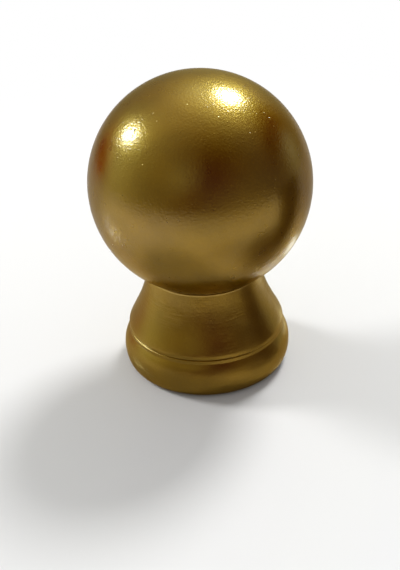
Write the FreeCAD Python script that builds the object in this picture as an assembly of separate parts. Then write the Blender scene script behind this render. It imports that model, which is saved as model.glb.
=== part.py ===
"""Ball finial for a 28 mm curtain pole.

A turned ball sits in the cupped top of a flared collar. A pan-head screw, put in
from the pole's side, pulls the ball down on the collar. The collar slips over the
pole's end, and a grub screw in its bead clamps the pole.

Frame: +Z runs from the collar's foot up through the ball, along the pole's axis.
The origin is the centre of the foot, in the plane that faces along the pole.
The grub screw is at the back, on +Y. All lengths are in millimetres.
"""

import FreeCAD
import Part

import math
import os

# The pole that the finial fits, and the socket that takes it
POLE_DIAMETER = 28.0
POLE_CLEARANCE = 0.2  # all round, so that the collar slips on over paint
SOCKET_DEPTH = 13.0
SOCKET_CHAMFER = 0.5

# The ball
BALL_DIAMETER = 50.0
SEAT_DIAMETER = 16.0  # the flat turned on the ball, and the boss that carries it
BALL_HOLE_RUNOUT = 2.0  # the tapped hole goes this far past the screw's tip
BALL_HOLE_COUNTERSINK = 0.5
DRILL_POINT_ANGLE = 118.0

# The foot and the bead. The bead swells out of the foot and turns in again above.
FOOT_WALL = 3.3  # the flat ring between the socket and the foot's edge
FOOT_BEVEL = 0.4
BEAD_SWELL = 2.1  # how far the crown stands out from the foot
BEAD_CROWN_HEIGHT = 4.7
BEAD_HEIGHT = 8.8
BEAD_TOP_SET_IN = 1.4  # from the crown in to the bead's top edge

# The upright band above the bead, and the fine groove scribed round it
BAND_HEIGHT = 1.85
GROOVE_ABOVE_BEAD = 1.0  # from the band's lower edge up to the middle of the groove
GROOVE_WIDTH = 0.36
GROOVE_DEPTH = 0.3

# The neck flares: rounded where it leaves the band, then hollow, and nearly upright at its rim
NECK_FOOT_LEAN = 7.0  # degrees from upright, at the band
NECK_FOOT_PULL = 1.3  # how far the curve follows that lean
NECK_TOP_LEAN = 3.2
NECK_TOP_PULL = 6.4
CUP_WIDTH = 5.4  # the ring of the cup, from the boss out to the rim
RIM_GAP = 0.12  # the hairline between the ball and the cup
RIM_BEVEL = 0.2

# The screw that holds the ball, M6 x 16 with a cross recess
BALL_SCREW_DIAMETER = 6.0
BALL_SCREW_LENGTH = 16.0
BALL_SCREW_POINT = 0.7
PAN_HEAD_DIAMETER = 11.6
PAN_HEAD_HEIGHT = 4.0
PAN_HEAD_ROUND = 1.4
CROSS_SPAN = 6.2
CROSS_WIDTH = 1.3
CROSS_DEPTH = 2.4
CROSS_CENTRE_DIAMETER = 2.9
SHANK_CLEARANCE = 0.3  # round the shank, in the collar's web
HEAD_CLEARANCE = 0.5  # round the head, in its pocket
HEAD_SET_IN = 1.3  # the head stays this far clear of the pole's end
WEB_THICKNESS = 3.5  # between the head's pocket and the ball's seat

# The grub screw that clamps the pole, M4 with a hexagon socket
GRUB_DIAMETER = 4.0
GRUB_BACKED_OFF = 0.3  # its tip stands this far outside the socket's wall
GRUB_SET_IN = 0.6  # its outer end lies this far inside the bead's crown
GRUB_TIP_BEVEL = 0.6
GRUB_HEX_ACROSS_FLATS = 2.0
GRUB_HEX_DEPTH = 2.2
GRUB_HOLE_COUNTERSINK = 0.35

THREAD_GAP = 0.04  # between plain cylinders that stand for a thread and its nut

# Radii worked out from the sizes above
SOCKET_RADIUS = POLE_DIAMETER / 2 + POLE_CLEARANCE
BALL_RADIUS = BALL_DIAMETER / 2
SEAT_RADIUS = SEAT_DIAMETER / 2
CUP_RADIUS = BALL_RADIUS + RIM_GAP
RIM_RADIUS = SEAT_RADIUS + CUP_WIDTH
FOOT_RADIUS = SOCKET_RADIUS + FOOT_WALL
CROWN_RADIUS = FOOT_RADIUS + BEAD_SWELL
BAND_RADIUS = CROWN_RADIUS - BEAD_TOP_SET_IN
SCREW_RADIUS = BALL_SCREW_DIAMETER / 2
HEAD_RADIUS = PAN_HEAD_DIAMETER / 2
POCKET_RADIUS = HEAD_RADIUS + HEAD_CLEARANCE

# Heights above the foot worked out from the sizes above
HEAD_SEAT_HEIGHT = SOCKET_DEPTH + HEAD_SET_IN + PAN_HEAD_HEIGHT
SEAT_HEIGHT = HEAD_SEAT_HEIGHT + WEB_THICKNESS
BALL_CENTRE_HEIGHT = SEAT_HEIGHT + math.sqrt(BALL_RADIUS**2 - SEAT_RADIUS**2)
GROOVE_MIDDLE_HEIGHT = BEAD_HEIGHT + GROOVE_ABOVE_BEAD
BAND_TOP_HEIGHT = BEAD_HEIGHT + BAND_HEIGHT

ORIGIN = FreeCAD.Vector(0, 0, 0)
UP = FreeCAD.Vector(0, 0, 1)
ACROSS = FreeCAD.Vector(1, 0, 0)
BACK = FreeCAD.Vector(0, 1, 0)
OVERRUN = 1.0  # how far a cutter runs past the face it opens


def at(radius, height):
    """A point of a turned outline, in the XZ plane."""
    return FreeCAD.Vector(radius, 0, height)


def line(start, end):
    return Part.LineSegment(start, end).toShape()


def arc(start, middle, end):
    return Part.Arc(start, middle, end).toShape()


def bezier(*poles):
    curve = Part.BezierCurve()
    curve.setPoles(list(poles))
    return curve.toShape()


def quarter_oval(start, corner, end):
    """A quarter of an oval from start to end, tangent to the two sides that meet at corner."""
    curve = Part.BSplineCurve()
    weights = [1.0, math.sqrt(0.5), 1.0]
    curve.buildFromPolesMultsKnots([start, corner, end], [3, 3], [0.0, 1.0], False, 2, weights)
    return curve.toShape()


def turned(edges):
    """The solid that a closed outline in the XZ plane makes when it is turned about Z."""
    return Part.Face(Part.Wire(edges)).revolve(ORIGIN, UP, 360)


def under_sphere(sphere_radius, across):
    """The point on the underside of a sphere about the ball's centre, at a distance from its axis."""
    return at(across, BALL_CENTRE_HEIGHT - math.sqrt(sphere_radius**2 - across**2))


def make_ball():
    """The ball: a sphere with a flat seat below and a blind tapped hole up from it."""
    hole_radius = SCREW_RADIUS + THREAD_GAP
    hole_end = HEAD_SEAT_HEIGHT + BALL_SCREW_LENGTH + BALL_HOLE_RUNOUT
    point_length = hole_radius / math.tan(math.radians(DRILL_POINT_ANGLE / 2))
    top = at(0, BALL_CENTRE_HEIGHT + BALL_RADIUS)
    side = at(BALL_RADIUS, BALL_CENTRE_HEIGHT)
    seat_edge = at(SEAT_RADIUS, SEAT_HEIGHT)
    mouth = at(hole_radius + BALL_HOLE_COUNTERSINK, SEAT_HEIGHT)
    throat = at(hole_radius, SEAT_HEIGHT + BALL_HOLE_COUNTERSINK)
    hole_bottom = at(hole_radius, hole_end)
    drill_point = at(0, hole_end + point_length)
    return turned(
        [
            arc(top, side, seat_edge),
            line(seat_edge, mouth),
            line(mouth, throat),
            line(throat, hole_bottom),
            line(hole_bottom, drill_point),
            line(drill_point, top),
        ]
    )


def foot_and_bead(foot_edge, bead_top):
    """The outline from the foot's edge round the bead to its top edge.

    Below the crown it is a quarter of an oval. Above, it is an arc that starts upright at
    the crown and ends at the top edge.
    """
    bead_bottom = at(FOOT_RADIUS + FOOT_BEVEL, FOOT_BEVEL)
    crown = at(CROWN_RADIUS, BEAD_CROWN_HEIGHT)
    rise = BEAD_HEIGHT - BEAD_CROWN_HEIGHT
    bead_round = (rise**2 + BEAD_TOP_SET_IN**2) / (2 * BEAD_TOP_SET_IN)
    half_turn = math.asin(rise / bead_round) / 2
    middle = at(
        CROWN_RADIUS - bead_round * (1 - math.cos(half_turn)),
        BEAD_CROWN_HEIGHT + bead_round * math.sin(half_turn),
    )
    return [
        line(foot_edge, bead_bottom),
        quarter_oval(bead_bottom, at(crown.x, bead_bottom.z), crown),
        arc(crown, middle, bead_top),
    ]


def band(bead_top, band_top):
    """The outline of the upright band, with the groove scribed in it."""
    groove_low = at(BAND_RADIUS, GROOVE_MIDDLE_HEIGHT - GROOVE_WIDTH / 2)
    groove_bottom = at(BAND_RADIUS - GROOVE_DEPTH, GROOVE_MIDDLE_HEIGHT)
    groove_high = at(BAND_RADIUS, GROOVE_MIDDLE_HEIGHT + GROOVE_WIDTH / 2)
    return [
        line(bead_top, groove_low),
        line(groove_low, groove_bottom),
        line(groove_bottom, groove_high),
        line(groove_high, band_top),
    ]


def leaning(degrees, length):
    """A step up the outline that leans in towards the axis by an angle from upright."""
    lean = math.radians(degrees)
    return at(-length * math.sin(lean), length * math.cos(lean))


def neck(band_top, rim):
    """The outline of the neck, rounded at its foot and hollow above, up to the cup's rim."""
    neck_top = at(RIM_RADIUS, under_sphere(CUP_RADIUS, RIM_RADIUS).z - RIM_BEVEL)
    swell = band_top + leaning(NECK_FOOT_LEAN, NECK_FOOT_PULL)
    hollow = neck_top - leaning(NECK_TOP_LEAN, NECK_TOP_PULL)
    return [bezier(band_top, swell, hollow, neck_top), line(neck_top, rim)]


def cup_and_web(rim, pocket_floor):
    """The outline of the cup round the ball, the boss that carries it, and the screw's hole."""
    hole_radius = SCREW_RADIUS + SHANK_CLEARANCE
    cup_middle = under_sphere(CUP_RADIUS, (rim.x + SEAT_RADIUS) / 2)
    cup_edge = under_sphere(CUP_RADIUS, SEAT_RADIUS)
    boss_edge = at(SEAT_RADIUS, SEAT_HEIGHT)
    hole_top = at(hole_radius, SEAT_HEIGHT)
    hole_bottom = at(hole_radius, HEAD_SEAT_HEIGHT)
    return [
        arc(rim, cup_middle, cup_edge),
        line(cup_edge, boss_edge),
        line(boss_edge, hole_top),
        line(hole_top, hole_bottom),
        line(hole_bottom, pocket_floor),
    ]


def pocket_and_socket(pocket_floor, foot_edge):
    """The outline of the screw head's pocket and the pole's socket, down to the foot."""
    pocket_mouth = at(POCKET_RADIUS, SOCKET_DEPTH)
    socket_end = at(SOCKET_RADIUS, SOCKET_DEPTH)
    socket_mouth = at(SOCKET_RADIUS, SOCKET_CHAMFER)
    chamfer_edge = at(SOCKET_RADIUS + SOCKET_CHAMFER, 0)
    return [
        line(pocket_floor, pocket_mouth),
        line(pocket_mouth, socket_end),
        line(socket_end, socket_mouth),
        line(socket_mouth, chamfer_edge),
        line(chamfer_edge, foot_edge),
    ]


def grub_hole():
    """The cutter for the tapped hole in the back of the bead, with a small countersink."""
    hole_radius = GRUB_DIAMETER / 2 + THREAD_GAP
    start = FreeCAD.Vector(0, SOCKET_RADIUS - OVERRUN, BEAD_CROWN_HEIGHT)
    length = CROWN_RADIUS - SOCKET_RADIUS + 2 * OVERRUN
    hole = Part.makeCylinder(hole_radius, length, start, BACK)
    sink_start = FreeCAD.Vector(0, CROWN_RADIUS - GRUB_HOLE_COUNTERSINK, BEAD_CROWN_HEIGHT)
    sink_length = GRUB_HOLE_COUNTERSINK + OVERRUN
    sink = Part.makeCone(hole_radius, hole_radius + sink_length, sink_length, sink_start, BACK)
    return hole.fuse(sink)


def make_collar():
    """The collar: foot, bead, band and neck outside, and cup, pocket and socket inside."""
    foot_edge = at(FOOT_RADIUS, 0)
    bead_top = at(BAND_RADIUS, BEAD_HEIGHT)
    band_top = at(BAND_RADIUS, BAND_TOP_HEIGHT)
    rim = under_sphere(CUP_RADIUS, RIM_RADIUS - RIM_BEVEL)
    pocket_floor = at(POCKET_RADIUS, HEAD_SEAT_HEIGHT)
    outline = (
        foot_and_bead(foot_edge, bead_top)
        + band(bead_top, band_top)
        + neck(band_top, rim)
        + cup_and_web(rim, pocket_floor)
        + pocket_and_socket(pocket_floor, foot_edge)
    )
    return turned(outline).cut(grub_hole())


def cross_recess(face_height):
    """The cutter for a cross recess that opens downwards at face_height."""
    low = face_height - OVERRUN
    height = CROSS_DEPTH + OVERRUN
    corner = FreeCAD.Vector(-CROSS_SPAN / 2, -CROSS_WIDTH / 2, low)
    wing = Part.makeBox(CROSS_SPAN, CROSS_WIDTH, height, corner)
    other_wing = wing.copy()
    other_wing.rotate(ORIGIN, UP, 90)
    centre = Part.makeCylinder(CROSS_CENTRE_DIAMETER / 2, height, at(0, low), UP)
    return wing.fuse([other_wing, centre])


def make_ball_screw():
    """The pan-head screw, head down in the collar's pocket and shank up in the ball."""
    face = HEAD_SEAT_HEIGHT - PAN_HEAD_HEIGHT
    tip = HEAD_SEAT_HEIGHT + BALL_SCREW_LENGTH
    face_edge = at(HEAD_RADIUS - PAN_HEAD_ROUND, face)
    head_side = at(HEAD_RADIUS, face + PAN_HEAD_ROUND)
    head_seat = at(HEAD_RADIUS, HEAD_SEAT_HEIGHT)
    shank_start = at(SCREW_RADIUS, HEAD_SEAT_HEIGHT)
    shank_end = at(SCREW_RADIUS, tip - BALL_SCREW_POINT)
    point_edge = at(SCREW_RADIUS - BALL_SCREW_POINT, tip)
    body = turned(
        [
            line(at(0, face), face_edge),
            quarter_oval(face_edge, at(HEAD_RADIUS, face), head_side),
            line(head_side, head_seat),
            line(head_seat, shank_start),
            line(shank_start, shank_end),
            line(shank_end, point_edge),
            line(point_edge, at(0, tip)),
            line(at(0, tip), at(0, face)),
        ]
    )
    return body.cut(cross_recess(face))


def hexagon(across_flats, height, floor):
    """A hexagonal prism that stands on the plane at the height of floor."""
    corner_radius = across_flats / math.sqrt(3)
    angles = [math.radians(60 * corner) for corner in range(7)]
    corners = [FreeCAD.Vector(corner_radius * math.cos(a), corner_radius * math.sin(a), floor) for a in angles]
    return Part.Face(Part.makePolygon(corners)).extrude(UP * height)


def make_grub_screw():
    """The grub screw in the back of the bead, backed off clear of the pole's socket."""
    radius = GRUB_DIAMETER / 2
    tip = SOCKET_RADIUS + GRUB_BACKED_OFF
    outer = CROWN_RADIUS - GRUB_SET_IN
    tip_edge = at(radius - GRUB_TIP_BEVEL, tip)
    side_start = at(radius, tip + GRUB_TIP_BEVEL)
    body = turned(
        [
            line(at(0, tip), tip_edge),
            line(tip_edge, side_start),
            line(side_start, at(radius, outer)),
            line(at(radius, outer), at(0, outer)),
            line(at(0, outer), at(0, tip)),
        ]
    )
    socket = hexagon(GRUB_HEX_ACROSS_FLATS, GRUB_HEX_DEPTH + OVERRUN, outer - GRUB_HEX_DEPTH)
    screw = body.cut(socket)
    screw.rotate(ORIGIN, ACROSS, -90)  # its axis turns from +Z to +Y
    screw.translate(at(0, BEAD_CROWN_HEIGHT))
    return screw


def export(name, shape):
    """Writes one node, after a check that it is one valid closed solid."""
    solids = shape.Solids
    if len(solids) != 1 or not solids[0].isValid() or solids[0].Volume <= 0:
        raise RuntimeError(f"{name} isn't one valid solid")
    solids[0].exportStep(f"parts/{name}.step")
    print(name, "volume", round(solids[0].Volume, 1), "mm3, box", solids[0].BoundBox)


def main():
    os.makedirs("parts", exist_ok=True)
    export("ball", make_ball())
    export("collar", make_collar())
    export("ball_screw", make_ball_screw())
    export("grub_screw", make_grub_screw())


main()
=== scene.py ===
# %% [markdown]
# # A ball finial for a curtain pole
#
# The object is the end piece of a 28 mm curtain pole: a turned ball in the cupped top of a
# flared collar, lacquered in satin gold. It stands on its open end, as on a shop's table.
# Nearly all that the eye reads here is reflection, so the lesson spends its effort on three
# things: true turned outlines, a lacquer with the right small unevenness, and a room that
# the metal can mirror.

# %% Load the frame
import math

import bpy
import numpy as np
from mathutils import Matrix, Vector


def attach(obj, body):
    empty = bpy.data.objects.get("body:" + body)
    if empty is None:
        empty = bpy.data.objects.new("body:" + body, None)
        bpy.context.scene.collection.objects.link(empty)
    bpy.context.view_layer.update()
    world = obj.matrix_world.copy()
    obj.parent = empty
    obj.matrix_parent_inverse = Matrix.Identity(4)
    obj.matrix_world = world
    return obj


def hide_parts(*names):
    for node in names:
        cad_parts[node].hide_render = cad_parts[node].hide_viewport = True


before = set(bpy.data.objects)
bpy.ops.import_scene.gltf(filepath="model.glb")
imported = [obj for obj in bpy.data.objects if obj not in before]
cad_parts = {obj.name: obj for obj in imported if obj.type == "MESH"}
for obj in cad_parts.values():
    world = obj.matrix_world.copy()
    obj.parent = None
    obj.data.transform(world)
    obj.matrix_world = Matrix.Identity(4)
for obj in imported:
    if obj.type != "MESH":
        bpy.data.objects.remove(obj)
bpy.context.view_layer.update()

MM = 0.001
print("frame loaded:", sorted(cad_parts))

# %% [markdown]
# ## The sizes
#
# A turner works from a drawing that gives radii and heights, and so does this file. The
# numbers are those of the solid model, with one exception. The solid's cup clears the ball
# by 0.12 mm, and here it clears it by 0.04 mm, because the lacquer closes most of that
# hairline.

# %% Radii and heights, in millimetres
BALL_RADIUS = 25.0
SEAT_RADIUS = 8.0
SEAT_HEIGHT = 21.8
BALL_CENTRE = SEAT_HEIGHT + math.sqrt(BALL_RADIUS**2 - SEAT_RADIUS**2)
SOCKET_RADIUS = 14.2
SOCKET_DEPTH = 13.0
FOOT_RADIUS = 17.5
FOOT_BEVEL = 0.4
CROWN_RADIUS = 19.6
CROWN_HEIGHT = 4.7
BEAD_HEIGHT = 8.8
BAND_RADIUS = 18.2
BAND_TOP = 10.65
GROOVE_HEIGHT = 9.8
GROOVE_DEPTH = 0.3
GROOVE_HALF_WIDTH = 0.18
RIM_RADIUS = 13.4
RIM_BEVEL = 0.2
CUP_RADIUS = 25.04
HOLE_BEVEL = 0.5
SCREW_HOLE_RADIUS = 3.3
SCREW_POCKET_RADIUS = 6.3
SCREW_SEAT_HEIGHT = 18.3
GRUB_AXIS_HEIGHT = CROWN_HEIGHT
print("ball centre", round(BALL_CENTRE, 2), "mm above the foot")

# %% [markdown]
# ## Outlines
#
# A lathe makes a surface by turning one outline about an axis. The outline here is put
# together from straight lines, arcs and quarter ovals, then treated as the lacquer treats
# it: the wet film pulls back over every edge and fills every corner, which is the same as
# averaging the line with its neighbours over a tenth of a millimetre. Last, the points are
# dealt out again, close together on the bends and far apart on the straights.

# %% Lines, arcs and quarter ovals
def straight(start, end, count=2):
    """Points on a line: start + (end - start) * t, for t from 0 to 1."""
    t = np.linspace(0, 1, count)[:, None]
    return np.array(start) + (np.array(end) - np.array(start)) * t


def arc(centre, radius, first, last, count=200):
    """Points on a circle: centre + radius * (cos a, sin a), for a from first to last degrees."""
    a = np.radians(np.linspace(first, last, count))
    return np.array(centre) + radius * np.stack([np.cos(a), np.sin(a)], axis=1)


def quarter_oval(start, corner, end, count=120):
    """A quarter of an oval, tangent to both sides of its corner.

    Its centre is start + end - corner, and the point at angle t is
    centre + (start - centre) * cos t + (end - centre) * sin t.
    """
    start, corner, end = (np.array(p, float) for p in (start, corner, end))
    centre = start + end - corner
    t = np.linspace(0, math.pi / 2, count)[:, None]
    return centre + (start - centre) * np.cos(t) + (end - centre) * np.sin(t)


def swelling_line(start, first, second, end, count=240):
    """A curve drawn to two control points.

    It is (1-t)^3 start + 3t(1-t)^2 first + 3t^2(1-t) second + t^3 end, for t from 0 to 1.
    """
    t = np.linspace(0, 1, count)[:, None]
    start, first, second, end = (np.array(p, float) for p in (start, first, second, end))
    near_start = (1 - t) ** 3 * start + 3 * t * (1 - t) ** 2 * first
    near_end = 3 * t**2 * (1 - t) * second + t**3 * end
    return near_start + near_end


def lean(point, degrees, length):
    """The point that a step up the outline reaches, if it leans in by an angle from upright."""
    a = math.radians(degrees)
    return (point[0] - length * math.sin(a), point[1] + length * math.cos(a))


# %% The lacquer's rounding, and the dealing of the points
def even_steps(points, step):
    """The same line with its points at equal distances along it."""
    along = np.concatenate([[0], np.cumsum(np.linalg.norm(np.diff(points, axis=0), axis=1))])
    keep = np.concatenate([[True], np.diff(along) > 1e-9])
    along, points = along[keep], points[keep]
    stations = np.linspace(0, along[-1], max(3, int(along[-1] / step)))
    return np.stack([np.interp(stations, along, points[:, k]) for k in (0, 1)], axis=1)


def lacquered(points, film, step=0.01, closed=False):
    """Rounds the corners: each point becomes the bell-weighted mean of its neighbours.

    The weight at a distance s along the line is exp(-s^2 / (2 film^2)). The ends of an
    open line are extended by their own mirror image, which keeps them on the axis.
    """
    line = even_steps(points, step)
    reach = int(4 * film / step)
    bell = np.exp(-0.5 * (np.arange(-reach, reach + 1) * step / film) ** 2)
    bell /= bell.sum()
    if closed:
        line = line[:-1]
        padded = np.concatenate([line[-reach:], line, line[:reach]])
    else:
        before = 2 * line[0] - line[1 : reach + 1][::-1]
        after = 2 * line[-1] - line[-reach - 1 : -1][::-1]
        padded = np.concatenate([before, line, after])
    return np.stack([np.convolve(padded[:, k], bell, "valid") for k in (0, 1)], axis=1)


def dealt(line, longest, bend_degrees, closed=False):
    """Points dealt out along a line, one for each `longest` millimetres or `bend_degrees` of turn."""
    if closed:
        line = np.concatenate([line, line[:1]])
    steps = np.diff(line, axis=0)
    lengths = np.linalg.norm(steps, axis=1)
    headings = np.unwrap(np.arctan2(steps[:, 1], steps[:, 0]))
    turns = np.abs(np.gradient(headings))
    load = np.cumsum(lengths / longest + np.degrees(turns) / bend_degrees)
    load = np.concatenate([[0], load])
    count = int(math.ceil(load[-1]))
    marks = np.linspace(0, load[-1], count + 1)
    dealt_points = np.stack([np.interp(marks, load, line[:, k]) for k in (0, 1)], axis=1)
    return dealt_points[:-1] if closed else dealt_points


# %% [markdown]
# ## From outline to surface
#
# Turning is a function of two parameters. One runs along the outline and gives a radius
# and a height, the other is the angle about the pole's axis. The grid of points goes into
# the mesh as whole arrays. Where the outline ends on the axis, the last ring is one point,
# a pole, so that the skin is closed.

# %% Grids of points, and the faces between them
AROUND = 256  # points round a large turned surface


def turned_grid(outline, around=AROUND):
    """Row j, column i: radius_j * (cos a_i, sin a_i) and height_j, where a_i = 360 i / around."""
    angle = np.arange(around) * (2 * math.pi / around)
    radius, height = outline[:, :1], outline[:, 1:]
    x, y = radius * np.cos(angle), radius * np.sin(angle)
    return np.stack([x, y, np.broadcast_to(height, x.shape)], axis=-1)


def strip_faces(low, high, closed=True):
    """Four-cornered faces between two rows of point numbers, or between each row and the next."""
    nxt = (lambda row: np.roll(row, -1, axis=-1)) if closed else (lambda row: row[..., 1:])
    cut = (lambda row: row) if closed else (lambda row: row[..., :-1])
    faces = np.stack([cut(low), nxt(low), nxt(high), cut(high)], axis=-1)
    return faces.reshape(-1, 4)


def fan_faces(ring, pole, flip=False):
    """Three-cornered faces from a ring of point numbers to one point."""
    nxt = np.roll(ring, -1)
    poles = np.full_like(ring, pole)
    order = (nxt, ring, poles) if flip else (ring, nxt, poles)
    return np.stack(order, axis=-1)


def skin(name, points, quads, triangles=None, crease=38):
    """Puts arrays of points (in millimetres) and faces into a mesh, smooth except at sharp edges."""
    mesh = bpy.data.meshes.new(name)
    faces = [quads] if triangles is None else [quads, triangles]
    corners = np.concatenate([f.ravel() for f in faces])
    sizes = np.concatenate([np.full(len(f), f.shape[1]) for f in faces])
    mesh.vertices.add(len(points))
    mesh.vertices.foreach_set("co", (np.asarray(points, float) * MM).ravel())
    mesh.loops.add(len(corners))
    mesh.loops.foreach_set("vertex_index", corners.astype(np.int32))
    mesh.polygons.add(len(sizes))
    starts = np.concatenate([[0], np.cumsum(sizes)[:-1]])
    mesh.polygons.foreach_set("loop_start", starts.astype(np.int32))
    mesh.polygons.foreach_set("use_smooth", np.ones(len(sizes), bool))
    mesh.update(calc_edges=True)
    mesh.validate()
    mesh.set_sharp_from_angle(angle=math.radians(crease))
    piece = bpy.data.objects.new(name, mesh)
    bpy.context.collection.objects.link(piece)
    report(piece)
    return piece


def report(piece):
    """Prints a piece's size, its faces, and how much it holds, which is positive if it faces outwards.

    The volume is the sum of a . (b x c) / 6 over the triangles. An edge is open unless two
    triangles share it, which is right for a sheet and wrong for a closed skin.
    """
    mesh = piece.data
    places = np.empty(len(mesh.vertices) * 3)
    mesh.vertices.foreach_get("co", places)
    places = places.reshape(-1, 3) / MM
    mesh.calc_loop_triangles()
    triangles = np.empty(len(mesh.loop_triangles) * 3, np.int32)
    mesh.loop_triangles.foreach_get("vertices", triangles)
    triangles = triangles.reshape(-1, 3)
    a, b, c = (places[triangles[:, k]] for k in range(3))
    volume = np.einsum("ij,ij->i", a, np.cross(b, c)).sum() / 6
    edges = np.stack([triangles, np.roll(triangles, -1, axis=1)], axis=-1).reshape(-1, 2)
    shared = np.unique(np.sort(edges, axis=1), axis=0, return_counts=True)[1]
    open_edges = int((shared != 2).sum())
    size = np.round(places.max(0) - places.min(0), 2)
    print(f"{piece.name}: {size} mm, {len(triangles)} triangles, {volume:.0f} mm3, open edges {open_edges}")


# %% [markdown]
# ## The ball
#
# The real ball is turned from bar, with a flat below for its seat and a tapped hole up the
# middle. A sphere primitive would do for the outside, but it has no seat, so the ball is
# turned from its outline like the rest: from the top, round the side to the seat, and up
# into the hole to the drill's point.

# %% Turn the ball
BALL_HOLE_RADIUS = 3.04
BALL_HOLE_END = 36.3
DRILL_HALF_ANGLE = 59
DRILL_POINT = BALL_HOLE_RADIUS / math.tan(math.radians(DRILL_HALF_ANGLE))


def make_ball():
    """The ball's outline, turned: an arc from the top to the seat, then the seat and the hole."""
    seat_angle = -math.degrees(math.acos(SEAT_RADIUS / BALL_RADIUS))
    outside = arc((0, BALL_CENTRE), BALL_RADIUS, 90, seat_angle, 4000)
    stops = [
        outside[-1],
        (BALL_HOLE_RADIUS + HOLE_BEVEL, SEAT_HEIGHT),
        (BALL_HOLE_RADIUS, SEAT_HEIGHT + HOLE_BEVEL),
        (BALL_HOLE_RADIUS, BALL_HOLE_END),
        (0, BALL_HOLE_END + DRILL_POINT),
    ]
    inside = [straight(a, b) for a, b in zip(stops[:-1], stops[1:])]
    outline = np.concatenate([outside, *inside])
    line = dealt(lacquered(outline, film=0.05), longest=3.0, bend_degrees=2.0)
    grid = turned_grid(line[1:-1])
    rows, columns = grid.shape[:2]
    number = np.arange(rows * columns).reshape(rows, columns)
    top, bottom = rows * columns, rows * columns + 1
    poles = np.array([[0, 0, line[0, 1]], [0, 0, line[-1, 1]]])
    quads = strip_faces(number[1:], number[:-1])
    triangles = np.concatenate([fan_faces(number[0], top), fan_faces(number[-1], bottom, flip=True)])
    return skin("ball_skin", np.concatenate([grid.reshape(-1, 3), poles]), quads, triangles)


ball = make_ball()
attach(ball, "root")
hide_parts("ball")

# %% [markdown]
# ## The collar
#
# One piece of bar, bored from below for the pole and hollowed above for the ball. Its
# outline is a closed loop: out over the foot, round the bead, up the band with its fine
# groove, up the neck, over the rim, down the cup and the screw's hole, and out again through
# the pocket and the socket.

# %% The collar's outline
def collar_outline():
    """The closed loop of the collar's section, with its corners rounded by the lacquer."""
    foot = (FOOT_RADIUS, 0)
    bead_low = (FOOT_RADIUS + FOOT_BEVEL, FOOT_BEVEL)
    crown = (CROWN_RADIUS, CROWN_HEIGHT)
    rise, set_in = BEAD_HEIGHT - CROWN_HEIGHT, CROWN_RADIUS - BAND_RADIUS
    bead_round = (rise**2 + set_in**2) / (2 * set_in)
    bead_turn = math.degrees(math.asin(rise / bead_round))
    groove = [
        (BAND_RADIUS, GROOVE_HEIGHT - GROOVE_HALF_WIDTH),
        (BAND_RADIUS - GROOVE_DEPTH, GROOVE_HEIGHT),
        (BAND_RADIUS, GROOVE_HEIGHT + GROOVE_HALF_WIDTH),
    ]
    band_top = (BAND_RADIUS, BAND_TOP)
    neck_top = (RIM_RADIUS, cup_height(RIM_RADIUS) - RIM_BEVEL)
    neck_pulls = lean(band_top, 7.0, 1.3), lean(neck_top, 3.2, -6.4)
    rim = (RIM_RADIUS - RIM_BEVEL, cup_height(RIM_RADIUS - RIM_BEVEL))
    across = np.linspace(rim[0], SEAT_RADIUS, 60)
    cup = np.stack([across, cup_height(across)], axis=1)
    corners = [
        cup[-1],
        (SEAT_RADIUS, SEAT_HEIGHT),
        (SCREW_HOLE_RADIUS, SEAT_HEIGHT),
        (SCREW_HOLE_RADIUS, SCREW_SEAT_HEIGHT),
        (SCREW_POCKET_RADIUS, SCREW_SEAT_HEIGHT),
        (SCREW_POCKET_RADIUS, SOCKET_DEPTH),
        (SOCKET_RADIUS, SOCKET_DEPTH),
        (SOCKET_RADIUS, HOLE_BEVEL),
        (SOCKET_RADIUS + HOLE_BEVEL, 0),
        foot,
    ]
    return np.concatenate(
        [
            straight(foot, bead_low),
            quarter_oval(bead_low, (CROWN_RADIUS, bead_low[1]), crown),
            arc((CROWN_RADIUS - bead_round, CROWN_HEIGHT), bead_round, 0, bead_turn),
            np.array(groove),
            swelling_line(band_top, *neck_pulls, neck_top),
            straight(neck_top, rim),
            cup,
            np.array(corners, float),
        ]
    )


def cup_height(across):
    """The height of the cup at a distance from the axis: centre - sqrt(cup radius^2 - across^2)."""
    return BALL_CENTRE - np.sqrt(CUP_RADIUS**2 - np.asarray(across) ** 2)


collar_line = lacquered(collar_outline(), film=0.06, closed=True)
collar_line = dealt(collar_line, longest=1.0, bend_degrees=8.0, closed=True)
print("collar outline:", len(collar_line), "points, widest", round(collar_line[:, 0].max(), 2), "mm")

# %% [markdown]
# The grub screw's hole goes through the back of the bead, and it is where a plain turned
# grid ends. A boolean cut would do it, but it leaves long thin faces that show in a
# polished reflection. Instead a rectangle of the grid is lifted out, inside and outside,
# and rings of points lead from each rectangle to the round hole. The hole's wall joins
# the two, with the screw's thread cut in it.

# %% A screw thread as a function of two parameters
def thread_dip(along, angle, pitch, depth):
    """How deep the thread is: depth * |2 (p - round p)|, cropped, with p = along / pitch - angle / 360.

    It is 0 on the crest, and moves along by one pitch with each turn. The crop leaves
    flats on the crest and in the root, as on a real thread.
    """
    phase = along / pitch - angle / (2 * math.pi)
    wave = np.abs(2 * (phase - np.round(phase)))
    return depth * np.clip(1.3 * wave - 0.15, 0, 1)


# %% The rectangle round the hole, as a ring of points
def window(number, points, rows, columns):
    """The point numbers round a rectangle of the grid, in order of their angle about the hole."""
    j0, j1 = rows
    i0, i1 = columns
    ring = np.concatenate(
        [number[j0, i0:i1], number[j0:j1, i1], number[j1, i1:i0:-1], number[j1:j0:-1, i0]]
    )
    angle = np.arctan2(points[ring, 2] - GRUB_AXIS_HEIGHT, points[ring, 0])
    if np.sum(np.diff(angle) > 0) < len(ring) / 2:
        ring, angle = ring[::-1], angle[::-1]
    start = int(np.argmin(angle))
    return np.roll(ring, -start), np.roll(angle, -start)


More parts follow.
